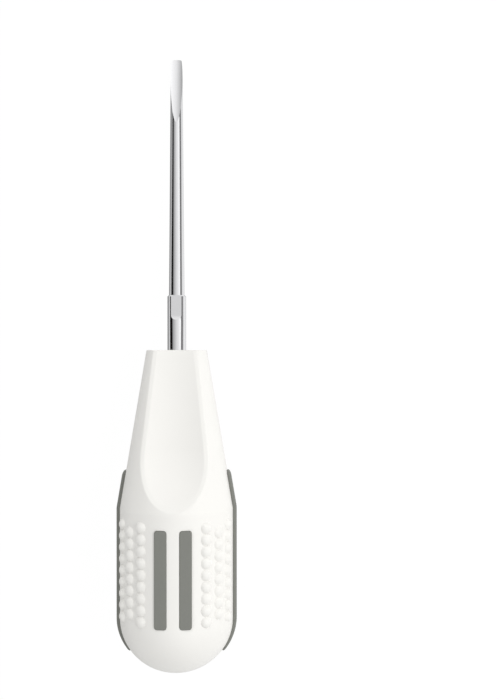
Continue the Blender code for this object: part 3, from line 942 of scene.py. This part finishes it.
def dress(piece, node, material):
    """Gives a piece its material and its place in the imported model."""
    piece.data.materials.append(material)
    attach(piece, "root")
    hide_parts(node)


# Studio, in metres and degrees
WHITE = (1.0, 1.0, 1.0, 1.0)
FLOOR_COLOR = (0.8, 0.8, 0.8, 1.0)
FLOOR_SIZE = 3.0
FLOOR_WHITE = 0.965
FLOOR_GLOW = 1.015
AMBIENT = 0.665
LAMP_DISTANCE = 1.0
SOFT_LAMP = 0.8
SMALL_LAMP = 0.2

# Lamps as azimuth from the right, +X, towards the blade, +Y, then elevation, size and watts
LAMPS = {
    "key": (0, 15, SOFT_LAMP, 2.3),
    "top": (0, 60, SMALL_LAMP, 1.85),
    "high": (30, 45, SMALL_LAMP, 0.4),
    "blade_fill": (90, 25, SOFT_LAMP, 1.56),
    "far_fill": (135, 30, SOFT_LAMP, 0.57),
}

# Reflector tent: its rings as place along the axis, gain and share of the tip's panels, and
# its panels as angle round the axis from the front, to the right, and brightness there
TENT_RADIUS = 0.6
TENT_STEPS = 360
TENT_RINGS = ((-0.5, 1.14, 1.0), (-0.18, 1.0, 1.0), (-0.05, 1.0, 0.0), (0.5, 1.0, 0.0))
SHAFT_PANELS = (
    (-180, 0.35), (-150, 0.5), (-136, 0.4), (-122, 0.22), (-108, 0.65), (-89, 0.85), (-85, 0.01),
    (-55, 0.0), (-48, 0.2), (-42, 0.44), (-19, 0.65), (0, 0.87), (30, 1.06), (48, 1.3),
    (54, 1.25), (59, 0.24), (84, 0.26), (91, 0.88), (120, 1.08), (150, 0.9), (180, 0.35),
)
TIP_PANELS = (
    (-180, 0.35), (-150, 0.5), (-136, 0.35), (-122, 0.2), (-108, 0.35), (-80, 0.6), (-76, 0.01),
    (-58, 0.0), (-48, 0.18), (-42, 0.42), (-19, 0.7), (0, 0.93), (30, 1.12), (48, 1.3),
    (54, 1.2), (59, 0.2), (84, 0.22), (91, 0.72), (120, 1.05), (150, 0.9), (180, 0.35),
)

# Camera, in millimetres to the right of the axis and in front of it, and degrees of roll
CAMERA_RIGHT = 15.855
CAMERA_DISTANCE = 226.72
CAMERA_ROLL = 0.038
CAMERA_LENS = 53.486
SENSOR_HEIGHT = 36.0
CLIP_START = 0.01


def stage_mesh(name, points, faces, material):
    """A piece of the studio."""
    mesh = bpy.data.meshes.new(name)
    mesh.from_pydata(points, [], faces)
    mesh.materials.append(material)
    item = bpy.data.objects.new(name, mesh)
    bpy.context.scene.collection.objects.link(item)
    return item


def light_path(tree):
    """Socket that is 1 on rays from the camera, through glass or off gloss, and 0 on others."""
    path = tree.nodes.new("ShaderNodeLightPath")
    total = path.outputs["Is Camera Ray"]
    for name in ("Is Glossy Ray", "Is Transmission Ray"):
        node = tree.nodes.new("ShaderNodeMath")
        node.operation = "MAXIMUM"
        tree.links.new(total, node.inputs[0])
        tree.links.new(path.outputs[name], node.inputs[1])
        total = node.outputs[0]
    return total


def make_floor():
    """Plain white floor that fades its own shading for the camera but keeps the shadow."""
    look = Nodes("floor_white")
    look.shader.inputs["Base Color"].default_value = FLOOR_COLOR
    look.shader.inputs["Roughness"].default_value = 1.0
    look.shader.inputs["Specular IOR Level"].default_value = 0.0
    tree = look.tree
    share = look.add("Math", Value=light_path(tree))
    share.operation = "MULTIPLY"
    share.inputs[1].default_value = FLOOR_WHITE
    white = look.add("Emission", Strength=FLOOR_GLOW)
    mixed = tree.nodes.new("ShaderNodeMixShader")
    tree.links.new(share.outputs[0], mixed.inputs[0])
    tree.links.new(look.shader.outputs[0], mixed.inputs[1])
    tree.links.new(white.outputs[0], mixed.inputs[2])
    tree.links.new(mixed.outputs[0], tree.nodes["Material Output"].inputs["Surface"])
    size = FLOOR_SIZE
    corners = [(-size, -size, 0), (size, -size, 0), (size, size, 0), (-size, size, 0)]
    floor = stage_mesh("floor", corners, [(0, 1, 2, 3)], look.material)
    floor.visible_glossy = False


def make_tent():
    """Reflector panels around the instrument that only the gloss of its pieces shows."""
    turns = np.linspace(-180.0, 180.0, TENT_STEPS + 1)
    shaft_levels = np.interp(turns, *zip(*SHAFT_PANELS))
    tip_levels = np.interp(turns, *zip(*TIP_PANELS))
    points = []
    levels = []
    for along, gain, tip_share in TENT_RINGS:
        for turn in np.radians(turns):
            out = RIGHT * np.sin(turn) + FRONT * np.cos(turn)
            points.append(ORIGIN + TENT_RADIUS * out + along * DOWN)
        levels.append(gain * (tip_share * tip_levels + (1.0 - tip_share) * shaft_levels))
    count = len(turns)
    starts = [i for i in range(len(points) - count) if i % count < count - 1]
    faces = [(i, i + 1, i + 1 + count, i + count) for i in starts]
    look = Nodes("tent_panels")
    level = look.tree.nodes.new("ShaderNodeAttribute")
    level.attribute_name = "level"
    glow = look.add("Emission", Strength=level.outputs["Fac"])
    look.tree.links.new(glow.outputs[0], look.tree.nodes["Material Output"].inputs["Surface"])
    tent = stage_mesh("reflector_tent", points, faces, look.material)
    attribute = tent.data.attributes.new("level", "FLOAT", "POINT")
    attribute.data.foreach_set("value", np.concatenate(levels).astype(np.float32))
    tent.visible_camera = False
    tent.visible_diffuse = False
    tent.visible_transmission = False
    tent.visible_volume_scatter = False
    tent.visible_shadow = False


def make_world():
    """Even light from all round, which the camera, gloss and glass see as white."""
    studio = bpy.data.worlds.new("studio")
    bpy.context.scene.world = studio
    studio.use_nodes = True
    tree = studio.node_tree
    background = tree.nodes["Background"]
    background.inputs["Color"].default_value = WHITE
    strength = tree.nodes.new("ShaderNodeMapRange")
    tree.links.new(light_path(tree), strength.inputs["Value"])
    strength.inputs["To Min"].default_value = AMBIENT
    strength.inputs["To Max"].default_value = 1.0
    tree.links.new(strength.outputs["Result"], background.inputs["Strength"])


def make_lamps():
    """Soft round lamps that shine at the part's origin and don't show in its gloss."""
    for name, (azimuth, elevation, size, energy) in LAMPS.items():
        lamp = bpy.data.lights.new(name, "AREA")
        lamp.shape = "DISK"
        lamp.size = size
        lamp.energy = energy
        item = bpy.data.objects.new(name, lamp)
        aim = Matrix.Rotation(radians(azimuth), 3, "Z") @ Matrix.Rotation(radians(-elevation), 3, "Y")
        item.location = aim @ Vector((LAMP_DISTANCE, 0.0, 0.0))
        item.rotation_euler = (-item.location).to_track_quat("-Z", "Y").to_euler()
        item.visible_glossy = False
        bpy.context.scene.collection.objects.link(item)


def make_camera():
    """Camera that looks at the front scoop square on, from the right of the axis."""
    data = bpy.data.cameras.new("camera")
    data.sensor_fit = "VERTICAL"
    data.sensor_height = SENSOR_HEIGHT
    data.lens = CAMERA_LENS
    data.clip_start = CLIP_START
    camera = bpy.data.objects.new("camera", data)
    bpy.context.scene.collection.objects.link(camera)
    matrix = Matrix((RIGHT, -DOWN, FRONT)).transposed()
    matrix = (matrix @ Matrix.Rotation(radians(-CAMERA_ROLL), 3, "Z")).to_4x4()
    matrix.translation = Vector(world([CAMERA_RIGHT, CAMERA_DISTANCE, 0.0]))
    camera.matrix_world = matrix
    bpy.context.scene.camera = camera


dress(make_handle(), "handle_body", plastic_look())
rubber = rubber_look()
for node, piece in make_inlays().items():
    dress(piece, node, rubber)
dress(make_blade(), "blade", steel_look())
make_floor()
make_tent()
make_world()
make_lamps()
make_camera()
bpy.context.scene.view_settings.view_transform = "Standard"
